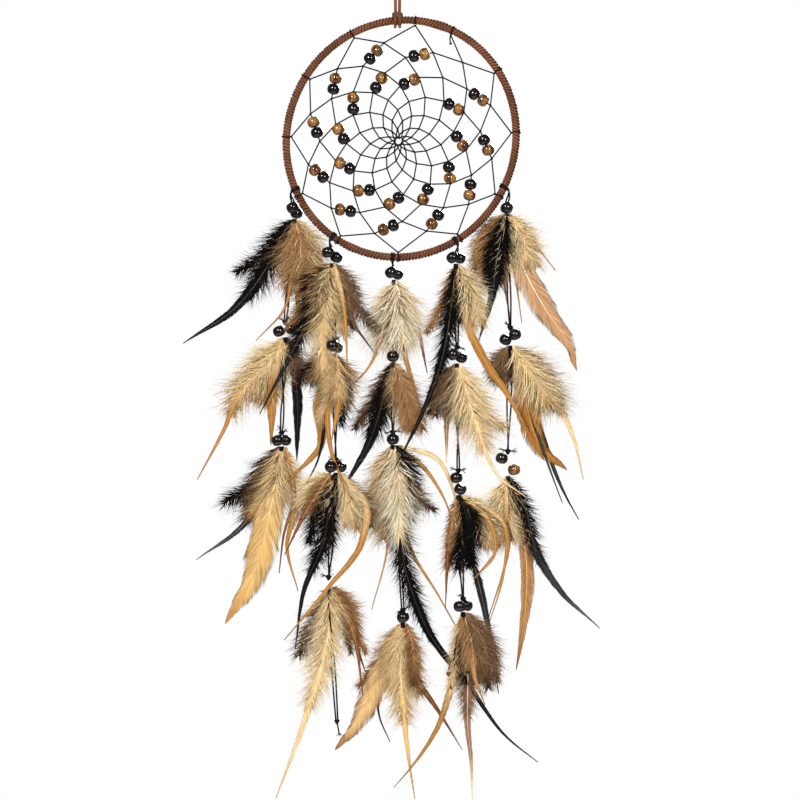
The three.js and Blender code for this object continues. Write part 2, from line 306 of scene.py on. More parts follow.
def noise(tree, scale, detail=3.0, stretch=None):
    """Noise in the piece's own space, in features per metre."""
    where = node(tree, "ShaderNodeTexCoord").outputs["Object"]
    if stretch:
        mapping = node(tree, "ShaderNodeMapping")
        mapping.inputs["Scale"].default_value = stretch
        tree.links.new(where, mapping.inputs["Vector"])
        where = mapping.outputs["Vector"]
    made = node(tree, "ShaderNodeTexNoise")
    made.inputs["Scale"].default_value = scale
    made.inputs["Detail"].default_value = detail
    tree.links.new(where, made.inputs["Vector"])
    return made.outputs["Fac"]


def bump(tree, shader, height, strength, distance):
    made = node(tree, "ShaderNodeBump")
    made.inputs["Strength"].default_value = strength
    made.inputs["Distance"].default_value = distance
    tree.links.new(height, made.inputs["Height"])
    tree.links.new(made.outputs["Normal"], shader.inputs["Normal"])


def attribute(tree, name, output="Fac"):
    return node(tree, "ShaderNodeAttribute", attribute_name=name).outputs[output]


def coat(tree, shader, colour, roughness, specular):
    for name, value in (("Base Color", colour), ("Roughness", roughness), ("Specular IOR Level", specular)):
        join(tree, value, shader.inputs[name])


def suede(name, base, light):
    """Split suede: a mottled brown with a fine nap, rubbed paler here and there, and painted shade in the
    grooves between turns and along the strap's edges, where it goes near-black."""
    material, tree, shader = new_material(name)
    mottle = ranged(tree, noise(tree, 45, 2), 0.35, 0.7)
    nap = noise(tree, 1600, 4)
    # Painted shade: towards each strap's edges the colour is mixed to near-black, for the grooves between
    # turns.
    painted_groove_shade = maths(tree, "MULTIPLY", ranged(tree, attribute(tree, "edge"), 0.25, 1.0), 0.9)
    colour = mixed(tree, painted_groove_shade, mixed(tree, mottle, base, light), tuple(0.06 * c for c in base))
    colour = mixed(tree, ranged(tree, nap, 0.35, 0.75, 0.0, 0.5), colour, tuple(1.25 * c for c in light))
    coat(tree, shader, colour, ranged(tree, nap, 0.3, 0.7, 0.72, 0.95), 0.15)
    bump(tree, shader, nap, 0.5, 0.3 * MM)
    return material


def waxed(name, colour, pale, twist_scale):
    """Black waxed thread: fine twisted plies with a soft shine."""
    material, tree, shader = new_material(name)
    fuzz = noise(tree, twist_scale, 3)
    colour = mixed(tree, ranged(tree, fuzz, 0.4, 0.75), colour, pale)
    coat(tree, shader, colour, ranged(tree, fuzz, 0.3, 0.7, 0.38, 0.62), 0.08)
    bump(tree, shader, fuzz, 0.4, 0.2 * MM)
    return material


def lacquered_bead(name, deep, bright, grain_scale):
    """A lacquered wooden bead: streaks of grain under a clear glossy coat."""
    material, tree, shader = new_material(name)
    streaks = noise(tree, grain_scale, 4, stretch=(1, 1, 0.25))
    clouds = noise(tree, 60, 2)
    colour = mixed(tree, ranged(tree, streaks, 0.35, 0.68), deep, bright)
    colour = mixed(tree, ranged(tree, clouds, 0.35, 0.7, 0.0, 0.55), colour, deep)
    coat(tree, shader, colour, ranged(tree, streaks, 0.3, 0.7, 0.12, 0.24), 0.05)
    for setting, value in (("Coat Weight", 0.5), ("Coat IOR", 1.6), ("Coat Roughness", 0.07)):
        shader.inputs[setting].default_value = value
    bump(tree, shader, streaks, 0.08, 0.2 * MM)
    return material


def feather_group():
    """The colours of a feather's barbs, from where each point is: along the feather, out along its barb,
    and a random shade for each barb. Down gives way to the vane, the vane to its tip, and each to its
    edge."""
    group = bpy.data.node_groups.new("barb_colour", "ShaderNodeTree")
    sockets = (
        ("Down", "NodeSocketColor"), ("Vane", "NodeSocketColor"), ("Tip", "NodeSocketColor"),
        ("Edge", "NodeSocketColor"), ("Edge amount", "NodeSocketFloat"), ("Bars", "NodeSocketFloat"),
        ("Bar count", "NodeSocketFloat"), ("Bar colour", "NodeSocketColor"),
    )
    for socket, kind in sockets:
        group.interface.new_socket(socket, in_out="INPUT", socket_type=kind)
    group.interface.new_socket("Colour", in_out="OUTPUT", socket_type="NodeSocketColor")
    given = node(group, "NodeGroupInput").outputs
    place = node(group, "ShaderNodeSeparateXYZ")
    group.links.new(attribute(group, "barb", "Vector"), place.inputs[0])
    along, out, shade = place.outputs
    downy = attribute(group, "down")
    colour = mixed(group, downy, given["Vane"], given["Down"])
    vane_only = maths(group, "SUBTRACT", 1.0, downy)
    towards_tip = maths(group, "MULTIPLY", ranged(group, along, 0.72, 1.0), vane_only)
    colour = mixed(group, towards_tip, colour, given["Tip"])
    outwards = maths(group, "MULTIPLY", ranged(group, out, 0.25, 0.95), given["Edge amount"])
    colour = mixed(group, outwards, colour, given["Edge"])
    slanted = maths(group, "ADD", along, maths(group, "MULTIPLY", out, 0.04))
    turns = maths(group, "MULTIPLY", maths(group, "MULTIPLY", slanted, given["Bar count"]), FULL_TURN)
    wave = maths(group, "SINE", maths(group, "ADD", turns, maths(group, "MULTIPLY", shade, 1.2)))
    bars = maths(group, "MULTIPLY", ranged(group, wave, -0.2, 0.5), given["Bars"])
    colour = mixed(group, bars, colour, given["Bar colour"])
    light = ranged(group, shade, 0.0, 1.0, 0.60, 1.0)
    grey = node(group, "ShaderNodeCombineColor")
    for socket in grey.inputs:
        group.links.new(light, socket)
    colour = mixed(group, 1.0, colour, grey.outputs[0], "MULTIPLY")
    group.links.new(colour, node(group, "NodeGroupOutput").inputs["Colour"])
    return group


BARB_COLOUR = feather_group()


def plumage(name, down, vane, tip, edge, edge_amount, bars=0.0, bar_count=9.0, bar_colour=UMBER):
    """The material of a feather's barbs."""
    material, tree, shader = new_material("plumage_" + name)
    barb = node(tree, "ShaderNodeGroup", node_tree=BARB_COLOUR)
    given = {
        "Down": down, "Vane": vane, "Tip": tip, "Edge": edge, "Edge amount": edge_amount,
        "Bars": bars, "Bar count": bar_count, "Bar colour": bar_colour,
    }
    for key, value in given.items():
        join(tree, value, barb.inputs[key])
    roughness = ranged(tree, attribute(tree, "down"), 0.0, 1.0, 0.42, 0.8)
    coat(tree, shader, barb.outputs["Colour"], roughness, 0.05)
    return material


def quill(name, root, tip):
    """The material of a feather's shaft: one colour at the root and another towards the tip, with dark
    streaks."""
    material, tree, shader = new_material("quill_" + name)
    place = node(tree, "ShaderNodeSeparateXYZ")
    tree.links.new(attribute(tree, "barb", "Vector"), place.inputs[0])
    streak = noise(tree, 700, 2)
    colour = mixed(tree, ranged(tree, place.outputs[0], 0.2, 0.95), root, tip)
    colour = mixed(tree, ranged(tree, streak, 0.4, 0.8, 0.0, 0.4), colour, tuple(0.6 * c for c in root))
    tree.links.new(colour, shader.inputs["Base Color"])
    tree.links.new(ranged(tree, streak, 0.3, 0.7, 0.25, 0.45), shader.inputs["Roughness"])
    return material


LACE = suede("suede_lace", (0.066, 0.021, 0.009), (0.140, 0.050, 0.023))
THREAD = waxed("web_thread", (0.002, 0.002, 0.002), (0.008, 0.006, 0.005), 1800)
CORD = waxed("waxed_cord", (0.002, 0.002, 0.002), (0.008, 0.006, 0.005), 1400)
BEADS = {
    "black": lacquered_bead("black_bead", (0.001, 0.001, 0.001), (0.006, 0.0025, 0.002), 240),
    "amber": lacquered_bead("amber_bead", (0.026, 0.009, 0.002), (0.270, 0.120, 0.026), 300),
}
CANE = lacquered_bead("hoop_cane", (0.230, 0.130, 0.060), (0.380, 0.240, 0.120), 180)

# Each tone: the colours of the down, the vane, its tip and its edge, how strong the edge is, then any
# bars across it, how many and their colour; and the quill's colours at root and tip.
TONES = {
    name: (plumage(name, *look), quill(name, *ends))
    for name, look, ends in (
        ("black", (COAL, BLACK, BLACK, COAL, 0.5), (UMBER, BLACK)),
        ("brown", (TAUPE, UMBER, COAL, TAN, 0.35), (TAN, UMBER)),
        ("smoke", (COAL, SLATE, (0.130, 0.130, 0.135), COAL, 0.4), (UMBER, BLACK)),
        ("grey", (TAUPE, SLATE, TAUPE, COAL, 0.5), (TAN, BLACK)),
        ("tan", (TAN, (0.330, 0.155, 0.055), RUST, FAWN, 0.5), (PALE_HORN, AMBER_HORN)),
        ("rust", (TAN, RUST, UMBER, GOLD, 0.3, 0.4, 14, UMBER), (AMBER_HORN, RUST)),
        ("golden", (CREAM, GOLD, OCHRE, (0.420, 0.230, 0.070), 0.4), (AMBER_HORN, AMBER_HORN)),
        ("honey", (CREAM, (0.560, 0.350, 0.130), GOLD, (0.520, 0.290, 0.090), 0.5), (PALE_HORN, AMBER_HORN)),
        ("fawn", (CREAM, FAWN, OCHRE, (0.230, 0.090, 0.030), 0.7), (PALE_HORN, AMBER_HORN)),
        ("cream", (CREAM, FAWN, GOLD, IVORY, 0.55), (PALE_HORN, CREAM)),
        ("white", (IVORY, IVORY, CREAM, WHITE, 0.8), (WHITE, CREAM)),
        ("barred", (FAWN, FAWN, UMBER, CREAM, 0.2, 0.95, 11, UMBER), (CREAM, TAN)),
        ("mauve", (TAUPE, (0.200, 0.105, 0.075), CREAM, FAWN, 0.4), (CREAM, TAN)),
        ("teal", (COAL, TEAL, BLACK, SLATE, 0.4), (TAUPE, BLACK)),
        (
            "peach", (CREAM, (0.420, 0.230, 0.115), (0.300, 0.130, 0.050), (0.520, 0.330, 0.180), 0.5),
            (WHITE, TAN),
        ),
    )
}


# ---------------- hoop

def hoop_radius(angle):
    return HOOP_RADIUS + HOOP_OVAL * np.cos(2 * np.radians(angle - HOOP_TILT))


def hoop_place(angle, radius):
    """A point in the hoop's plane, by degrees clockwise from the top and distance from its centre."""
    angle = np.radians(np.asarray(angle, float))
    return HOOP + np.stack([radius * np.sin(angle), 0 * angle, radius * np.cos(angle)], axis=-1)


def hoop_frame(angle):
    """The outward, tangent and depth directions at an angle on the hoop."""
    outward = unit(hoop_place(angle, 1.0) - HOOP)
    before, after = (hoop_place(angle + step, hoop_radius(angle + step)) for step in (-0.5, 0.5))
    return outward, unit(after - before), np.broadcast_to([0.0, 1.0, 0.0], outward.shape)


def lace_edge(profile, width, rows, low, high):
    """How near a strap's edge each point is: 0 up to the share low of its half-width, and 1 beyond
    high. The suede darkens by it, as painted shade in the grooves."""
    share = np.tile(np.abs(profile[:, 0]) / (width / 2), rows)
    return [("edge", np.clip((share - low) / (high - low), 0, 1))]


def wrap_hoop():
    """The lace is wound round the hoop's tube: its middle line is a helix whose tube angle turns
    LACE_TURNS times in one trip round the hoop, and each turn leans across the tube. The strap itself
    lies a little askew, so that each turn laps over the next. The lace is thicker where its ends are
    tucked in."""
    points_per_turn = 14
    count = LACE_TURNS * points_per_turn
    turn = np.linspace(0, LACE_TURNS, count, endpoint=False)
    angle = KNOT_ANGLE + 360.0 * turn / LACE_TURNS
    outward, tangent, depth = hoop_frame(angle)

    def wander(size, every):
        knots = RNG.normal(0, size, LACE_TURNS // every + 3)
        return np.interp(turn / every, np.arange(len(knots)), knots)

    spin = FULL_TURN * turn
    off = np.cos(spin)[:, None] * outward + np.sin(spin)[:, None] * depth
    tucks = ((19, 4.5, 0.55 * MM), (205, 3, 0.3 * MM))  # each one's angle, spread and height
    lumps = sum(height * np.exp(-(((angle - at) / spread) ** 2)) for at, spread, height in tucks)
    radius = WRAP_RADIUS - LACE_THICKNESS / 2 + wander(0.07 * MM, 1) + wander(0.06 * MM, 9) + lumps
    slant = LACE_SLANT * np.cos(spin) + wander(0.12 * MM, 1)
    path = hoop_place(angle, hoop_radius(angle)) + radius[:, None] * off + slant[:, None] * tangent
    width = LACE_WIDTH * 0.9
    profile = strap_profile(width, LACE_THICKNESS, 0.85)
    lean = np.radians(15) + wander(np.radians(5), 1)
    x, y = turned(profile[None, :, 0], profile[None, :, 1], lean[:, None])
    points = path[:, None, :] + x[..., None] * tangent[:, None, :] + y[..., None] * off[:, None, :]
    faces = [group[:, ::-1] for group in swept_faces(count, len(profile), False)]
    # The suede paints shade along these edges, for the grooves between turns.
    edge = lace_edge(profile, width, count, 0.4, 0.85)
    fit(add_piece("hoop_lace", points, faces, [LACE], attributes=edge), "hoop", "hoop_wrap")


wrap_hoop()
core = bpy.data.objects["hoop_core"]
core.data.materials.clear()
core.data.materials.append(CANE)


# ---------------- hanger

LEG = 1.6 * MM  # half the distance between the hanger's two laces


def strap(name, path, reference, width, body, stands_for=None):
    profile = strap_profile(width, LACE_THICKNESS)
    faces = swept_faces(len(path), len(profile), False)
    # The suede paints shade along these edges.
    edge = lace_edge(profile, width, len(path), 0.6, 1.0)
    piece = add_piece(name, sweep(path, profile, reference), faces, [LACE], attributes=edge)
    return fit(piece, body, stands_for)


def hanging_loop():
    """A doubled lace that goes over the nail, which is at the origin."""
    foot = KNOT[2] + 5.0 * MM
    right = [
        (LEG * 0.8, 0, 0.3 * MM), (LEG + 0.5 * MM, 0, -2.2 * MM), (LEG + 0.5 * MM, 0, foot * 0.3),
        (LEG + 0.2 * MM, 0, foot * 0.75), (LEG, 0.2 * MM, foot),
    ]
    left = [(-x, y, z) for x, y, z in reversed(right)]
    loop = curve_through([*left, (0, 0, 1.4 * MM), *right], 90)
    outwards = np.cross(unit(np.gradient(loop, axis=0)), FRONT)
    width = LACE_WIDTH * 0.9
    piece = strap("hanging_loop", loop, outwards, width, "hanger", "hanger_loop")


def hanger_knot():
    """The lark's head that grips the hoop: two legs round the tube, their ends below it, and the bight
    across them."""
    for number, side in ((1, -1), (2, 1)):
        # Each leg goes down the front of the hoop's tube and up its back.
        turn = np.linspace(-0.1 * np.pi, 1.97 * np.pi, 40)
        radius = WRAP_RADIUS + LACE_THICKNESS * (0.62 + 0.12 * np.cos(turn))
        path = KNOT + np.stack([
            side * (LEG * 1.08 + 0.35 * MM * np.sin(turn)),
            -radius * np.sin(turn),
            radius * np.cos(turn) * 1.12 + 0.5 * MM,
        ], axis=1)
        stands_for = "hanger_knot" if side < 0 else None
        strap(f"hanger_knot_leg_{number}", path, RIGHT, LACE_WIDTH, "knot", stands_for)
        end = KNOT + np.array([side * LEG * 1.1, -1.2 * MM, -WRAP_RADIUS - 1.6 * MM])
        bends = [end + [0, 0.6 * MM, 2.4 * MM], end, end + [side * 0.5 * MM, -0.2 * MM, -1.7 * MM]]
        strap(f"hanger_lace_end_{number}", curve_through(bends, 10), RIGHT, LACE_WIDTH * 0.8, "knot")
    across = np.array([
        (-3.6, 1.2, 4.4), (-3.9, -1.2, 4.9), (-1.8, -2.7, 5.5), (0.2, -2.9, 5.7), (2.1, -2.7, 5.3),
        (3.9, -1.2, 4.6), (3.6, 1.2, 4.2),
    ])
    strap("hanger_knot_bight", curve_through(KNOT + across * MM, 30), -DOWN, LACE_WIDTH * 0.85, "knot")


hanging_loop()
hanger_knot()


# ---------------- web

def web_hitches():
    """The anchors on the hoop, then hitch after hitch, each part way along a span of the round before.
    Each is drawn in towards the middle by its round's pull, but by no more than MOST_PULL of its way."""
    hitches = list(hoop_place(ANCHORS, hoop_radius(ANCHORS) - WRAP_RADIUS - THREAD_RADIUS) - HOOP)
    while True:
        j = len(hitches)
        start, end = hitches[j - len(ANCHORS)], hitches[j - len(ANCHORS) + 1]
        reach = start * (1 - HITCH_AT) + end * HITCH_AT - WEB_CENTRE
        far = np.linalg.norm(reach)
        radius = far - min(np.interp(j / len(ANCHORS) - 1, np.arange(len(PULLS)), PULLS), MOST_PULL * far)
        if radius < WEB_EYE:
            return np.array(hitches)
        hitches.append(WEB_CENTRE + reach / far * radius)


def weave_web():
    """The thread goes in to a hitch of the next round and back out, again and again, with each corner
    rounded. A small ring is the turn of thread at each hitch, and a larger one the turn round the hoop at
    each anchor."""
    hitches = web_hitches()
    count, across = len(hitches), len(ANCHORS)
    order = [k for j in range(count) for k in ((j, j + across) if j + across < count else (j,))]
    line = hitches[order]
    before, after = unit(line - np.roll(line, 1, axis=0)), unit(np.roll(line, -1, axis=0) - line)
    before[0], after[-1] = after[0], before[-1]
    weave = 0.3 * MM * np.where(np.arange(len(line)) % 2, 1, -1)[:, None] * FRONT
    corner = 0.7 * MM
    bends = [line - corner * before, line - 0.25 * corner * (before - after), line + corner * after]
    path = (np.stack(bends, axis=1) + weave[:, None, :]).reshape(-1, 3) + HOOP
    parts = [tube(path, THREAD_RADIUS, FRONT)]
    for angle, hitch in zip(ANCHORS, hitches):
        tangent = hoop_frame(np.array(angle))[1]
        middle = hoop_place(angle, hoop_radius(angle))
        parts.append(ring(middle, tangent + 0.15 * FRONT, WRAP_RADIUS + 0.35 * MM, THREAD_RADIUS, 26))
        parts.append(ring(HOOP + hitch, tangent, 0.8 * MM, THREAD_RADIUS))
    for j in range(across, count):
        span = hitches[j - across + 1] - hitches[j]
        axis = span + 0.3 * np.linalg.norm(span) * FRONT
        size = 0.6 * MM * min(1.0, np.linalg.norm(hitches[j] - WEB_CENTRE) / (14 * MM) + 0.35)
        parts.append(ring(HOOP + hitches[j], axis, size, THREAD_RADIUS * 0.9, 10))
    start = HOOP + hitches[0]
    tail = curve_through([start, start + [-0.6 * MM, -MM, -3 * MM], start + [0, -0.6 * MM, -7.5 * MM]], 12)
    parts.append(tube(tail, THREAD_RADIUS, FRONT))
    parts.append(ring(tail[-1], (0.3, 0.2, 1), 0.7 * MM, THREAD_RADIUS, 10))
    fit(add_piece("web_thread", *merged(parts), [THREAD]), "hoop", "beaded_web")
    return hitches


def bead(name, middle, hole, colour, body, stands_for=None):
    """A turned bead: its outline is a superellipse cut by the hole, spun about the hole's line."""
    sides, bore = 28, 0.85 * MM
    u = np.linspace(0, 1, 17)[:, None]
    swell = np.clip(1 - np.abs(2 * u - 1) ** 2.3, 0, 1) ** (1 / 2.1)
    inside = np.linspace(1, -1, 4)[1:-1, None]
    radius = np.concatenate([bore + (BEAD_RADIUS - bore) * swell, np.full((2, 1), bore)])
    height = BEAD_HALF_LENGTH * np.concatenate([2 * u - 1, inside])
    turn = circle(sides)[None, :, None]
    axis = unit(np.asarray(hole, float))
    start, across = square_to(axis, (0.2, 0.9, 0.1))
    away = radius[..., None] * (np.cos(turn) * start + np.sin(turn) * across)
    points = middle + height[..., None] * axis + away
    piece = add_piece(name, points, [grid_faces(len(radius), sides, wrap_rows=True)], [BEADS[colour]])
    fit(piece, body, stands_for)


def bead_web(hitches):
    """An amber bead and a black one share a span, side by side, on eleven spans of the second round and
    of the fourth."""
    across = len(ANCHORS)
    for k in range(across - 1):
        for row, j in (("outer", across + 1 + k), ("inner", 3 * across + k)):
            start, end = hitches[j], hitches[j + across - 1]
            along = unit(end - start)
            slack = max(np.linalg.norm(end - start) - 4 * BEAD_HALF_LENGTH, 0) / 2
            for colour, half_lengths in (("amber", 1), ("black", 3)):
                middle = HOOP + start + along * (slack + half_lengths * BEAD_HALF_LENGTH)
                hole = along + RNG.normal(0, 0.06, 3)
                bead(f"web_bead_{row}_{colour}_{k + 1}", middle, hole, colour, "hoop")


bead_web(weave_web())


# ---------------- drops

# Each drop's angle on the hoop, how far behind the hoop's plane it hangs, and its levels. A hub is the
# middle of a pair of beads, and its lean is the way from it to the first of them, or None where a level
# has no beads. Both are in mm, as seen from the front. Hubs and tails are counted from the hoop's centre.
DROPS = [
    {"angle": 244.4, "plane": 5, "hubs": [(-90, -60), (-98, -161), (-101, -254)],
     "leans": [(-1.5, 2.1), (-5, -1), (-3, 0)]},
    {"angle": 215, "plane": -5, "hubs": [(-58, -98), (-56, -175), (-55, -276), (-61, -373)],
     "leans": [(-3.4, 2), (-1.7, 0.8), (-4, 0), None], "tail": (-54, -490)},
    {"angle": 184.1, "plane": 5, "hubs": [(-6, -113), (-7, -183), (-7, -253), (1.5, -403)],
     "leans": [(-2.6, 0.5), (0, 0), (0, 0), (0, 0)]},
    {"angle": 152, "plane": -5, "hubs": [(46, -100.5), (47, -183), (48, -290), (52, -393)],
     "leans": [(-3, 0), (-3.4, 1.2), (-1.7, 4.8), (-3, 0)], "tail": (40, -450)},
    {"angle": 115.2, "plane": 5, "hubs": [(89, -58), (92, -167), (90, -274)],
     "leans": [(0, 0), (3.9, 2.1), (5.2, -4.8)]},
]


def place(spot, plane):
    return HOOP + np.array([spot[0], plane, spot[1]]) * MM


def reach_of(lean):
    """How far above and below its hub a level's beads reach."""
    return (abs(lean[1]) * MM + BEAD_HALF_LENGTH if lean else 3 * MM) + 0.35 * MM


def knot(name, middle, size, body):
    """A pulled-tight overhand knot: a trefoil path, flattened front to back."""
    s = circle(54)
    path = np.stack([
        np.sin(s) + 2 * np.sin(2 * s), 0.9 * -np.sin(3 * s), np.cos(s) - 2 * np.cos(2 * s)
    ], axis=1) / 3
    path = middle + size * path
    fit(add_piece(name, *tube(path, size * 0.46, path - middle, 7, closed=True), [CORD]), body)


def twisted(path, diameter=CORD_DIAMETER):
    """A cord of three plies along a path: a circle with three soft lobes, which turns once every four
    diameters."""
    corners = 12
    profile = round_profile(diameter / 2 * (0.93 + 0.1 * np.cos(3 * circle(corners))), corners)
    points = sweep(path, profile, FRONT + 0.01, twist=FULL_TURN * far_along(path) / (4 * diameter))
    return points, swept_faces(len(path), corners, False)


def cord_pair(name, start, below, later, end, body, stands_for):
    """Two cords side by side that cross each other slowly on the way down."""
    samples = 24
    middle = curve_through([start, below, later, end], samples)
    phase = RNG.uniform(0, FULL_TURN)
    turns = RNG.uniform(0.4, 1.1)
    s = np.linspace(0, 1, samples)
    spread = (0.9 + 1.1 * np.sin(np.pi * s) * RNG.uniform(0.4, 1.0)) * MM
    for k in range(2):
        turn = phase + np.pi * k + FULL_TURN * turns * s
        route = middle + spread[:, None] * np.stack([np.cos(turn), np.sin(turn), 0 * turn], axis=1)
        fine = curve_through(route, max(60, int(np.linalg.norm(end - start) / (0.8 * MM))))
        piece = add_piece(f"{name}_{k + 1}", *twisted(fine), [CORD])
        fit(piece, body, None if k else stands_for)


def binding(name, middle, radius, height, body):
    """Turns of thread round the quill ends: a helix."""
    turns = 6
    s = np.linspace(0, 1, turns * 12)
    turn = FULL_TURN * turns * s
    away = np.stack([radius * np.cos(turn), radius * np.sin(turn), 0 * turn], axis=1)
    path = middle + away + (0.5 - s)[:, None] * [0, 0, height]
    fit(add_piece(name, *tube(path, 0.4 * MM, away), [THREAD]), body)


def frayed_end(name, start, direction, length, body):
    """A cut cord end: a short twisted length that opens into nine fine fibres."""
    direction = unit(np.asarray(direction, float))
    sag = np.array([0, 0, -0.1]) * length
    path = curve_through([start, start + 0.5 * length * direction, start + length * direction + sag], 16)
    tip = path[-1]
    parts = [twisted(path, CORD_DIAMETER * 0.9)]
    for _ in range(9):
        out = unit(unit(tip - path[-3]) + RNG.normal(0, 0.35, 3))
        wisp = curve_through([tip, tip + 2.2 * MM * out, tip + 4 * MM * out + RNG.normal(0, 0.5 * MM, 3)], 6)
        parts.append(tube(wisp, 0.2 * MM, FRONT + 0.02, 4))
    fit(add_piece(name, *merged(parts), [CORD]), body)


def tie(index, drop):
    """Three turns of cord round the hoop, and the two cords that leave it for the first beads."""
    angle, behind = drop["angle"], np.sign(drop["plane"])
    outward, tangent, _ = hoop_frame(np.array(angle))
    centre = hoop_place(angle, hoop_radius(angle))
    radius = WRAP_RADIUS + 0.5 * MM
    turns = [
        ring(centre + k * 1.05 * MM * tangent, tangent + 0.08 * k * outward, radius, 0.55 * MM, 24, 8)
        for k in (-1, 0, 1)
    ]
    piece = add_piece(f"drop_{index}_hoop_tie", *merged(turns), [CORD])
    fit(piece, "hoop", f"drop_{index}_tie")
    hub = place(drop["hubs"][0], drop["plane"])
    necks = []
    for k in (-1, 1):
        y = np.array([0, (3.9 + 0.4 * k) * behind * MM, 0])
        start = centre + y + k * 0.7 * MM * tangent
        leave = centre + y * 1.1 + 3.5 * MM * outward + k * 0.4 * MM * tangent
        necks.append(twisted(curve_through([start, leave, hub + [k * 0.7 * MM, 0, 2 * MM], hub], 30)))
    fit(add_piece(f"drop_{index}_neck", *merged(necks), [CORD]), f"drop_{index}_section_1")


def bead_pair(index, level, hub, lean, body):
    """Two beads that touch at the hub, one a little in front of it and one behind."""
    depth = math.sqrt(max((BEAD_RADIUS / MM) ** 2 - lean[0] ** 2 - lean[1] ** 2, 0))
    reach = np.array([lean[0], -depth, lean[1]]) * MM
    for k, sign in ((1, 1), (2, -1)):
        hole = DOWN + np.array([0.35 * sign, 0.1, 0]) + RNG.normal(0, 0.15, 3)
        colour = "amber" if (index, level, k) == (5, 3, 1) else "black"
        stands_for = f"drop_{index}_beads_{level}" if k == 1 else None
        bead(f"drop_{index}_level_{level}_bead_{k}", hub + sign * reach, hole, colour, body, stands_for)


def string_drop(index, drop):
    """Ties a drop to the hoop, and strings its levels: beads and their knot on the level above, and the
    binding of the feathers and the cords below on the level itself."""
    tie(index, drop)
    plane, hubs, leans = drop["plane"], drop["hubs"], drop["leans"]
    for level, (spot, lean) in enumerate(zip(hubs, leans), start=1):
        hub = place(spot, plane)
        above = f"drop_{index}_section_{max(level - 1, 1)}"
        below = f"drop_{index}_section_{level}"
        label = f"drop_{index}_level_{level}"
        if lean:
            bead_pair(index, level, hub, lean, above)
        if level > 1:
            tied = hub + [0, 0, reach_of(lean) + 0.8 * MM]
            knot(f"{label}_knot", tied, 1.9 * MM, above)
            for k, side in ((1, -1), (2, 1)):
                way = np.array([side * RNG.uniform(0.2, 1.0), -0.5, RNG.uniform(-0.5, 1.0)])
                frayed_end(f"{label}_frayed_end_{k}", tied, way, 4.2 * MM, above)
        top = hub - [0, 0, reach_of(lean)]
        binding(f"{label}_binding", top - [0, 0, 2.2 * MM], 1.7 * MM, 3.8 * MM, below)
        if level < len(hubs):
            end = place(hubs[level], plane) + [0, 0, reach_of(leans[level])]
            stands_for = f"drop_{index}_cord_{level}"
        elif "tail" in drop:
            end = place(drop["tail"], plane)
            stands_for = f"drop_{index}_tail"
        else:
            continue
        under = top - [0, 0, 7 * MM]
        cord_pair(f"{label}_cord", top, under, (under + end) / 2, end, below, stands_for)
        if level == len(hubs):
            knot(f"drop_{index}_tail_knot", end, 1.7 * MM, below)
            frayed_end(f"drop_{index}_tail_end", end, (0.2, 0, -1), 8 * MM, below)


for number, drop in enumerate(DROPS, start=1):
    string_drop(number, drop)


# ---------------- feathers

BARB_STEPS = 3
SHAFT_SAMPLES, SHAFT_SIDES = 70, 6
VANE_SPACING = 0.48 * MM
# The down is a dense body of broad barbs and a fringe of fine ones. Each has its spacing along the shaft,
# its share of the down's breadth, the width and thickness of a barb, and how uneven the barbs are.
DOWN_LAYERS = (
    (0.43 * MM, 0.72, 0.85 * MM, 0.22 * MM, 0.15),
    (0.208 * MM, 1.05, 0.29 * MM, 0.2 * MM, 0.35),
)
# A form says where on the shaft the down and the vane are, how loose the down is, and how thick the shaft
# is in mm.
FORMS = {
    "puff": {"down": (0.0, 1.0), "vane": None, "loose": 1.0, "shaft": 0.26},
    "hackle": {"down": (0.0, 0.55), "vane": (0.36, 1.0), "loose": 0.8, "shaft": 0.45},
    "leaf": {"down": (0.0, 0.34), "vane": (0.20, 1.0), "loose": 0.6, "shaft": 0.46},
    "spear": {"down": (0.0, 0.40), "vane": (0.15, 1.0), "loose": 0.5, "shaft": 0.42},
}


def barbs(root, along, side, normal, length, angle, curl, wave, droop, width, thick):
    """Tapered three-sided slivers. Each starts on the shaft, leaves it at angle (0 is along it) in the
    plane of side, turns by curl on its way out, waves in and out of that plane, and droops. Returns the
    points of each, rings of three and then the tip, and the share of the barb's length at each step."""
    count = len(root)
    u = np.linspace(0, 1, BARB_STEPS + 1)[None, :, None]
    length, angle, curl, wave, droop = (v[:, None, None] for v in (length, angle, curl, wave, droop))
    phase = RNG.uniform(0, FULL_TURN, (2, count, 1, 1))
    beat = RNG.uniform(0.7, 1.6, (2, count, 1, 1))
    in_plane, off_plane = wave * np.sin(FULL_TURN * beat * u + phase) * u**0.4
    bearing = angle + curl * u + in_plane
    heading = np.cos(bearing) * along[:, None] + np.sin(bearing) * side[:, None]
    heading = unit(heading + 0.7 * off_plane * normal[:, None] + droop * u * DOWN)
    walked = np.concatenate([np.zeros((count, 1, 3)), np.cumsum(heading[:, 1:], axis=1)], axis=1)
    line = root[:, None] + walked * length / BARB_STEPS
    taper = (1 - u[:, :-1] ** 2.2) * 0.95 + 0.05
    centre, up = line[:, :-1], normal[:, None] * taper * thick
    broad = unit(np.cross(heading, normal[:, None]))[:, :-1] * taper * width
    rings = np.stack([centre - broad / 2 - up / 3, centre + broad / 2 - up / 3, centre + up * 2 / 3], axis=2)
    return np.concatenate([rings.reshape(count, -1, 3), line[:, -1:]], axis=1), u[0, :, 0]


def barb_faces(count):
    """Quads up each sliver's three sides, a triangle on its root and three at its tip."""
    size = 3 * BARB_STEPS + 1
    last = size - 4
    ends = np.array([[0, 2, 1]] + [[last + k, last + (k + 1) % 3, size - 1] for k in range(3)])
    start = (np.arange(count) * size)[:, None, None]
    return [(start + grid_faces(BARB_STEPS, 3)).reshape(-1, 4), (start + ends).reshape(-1, 3)]


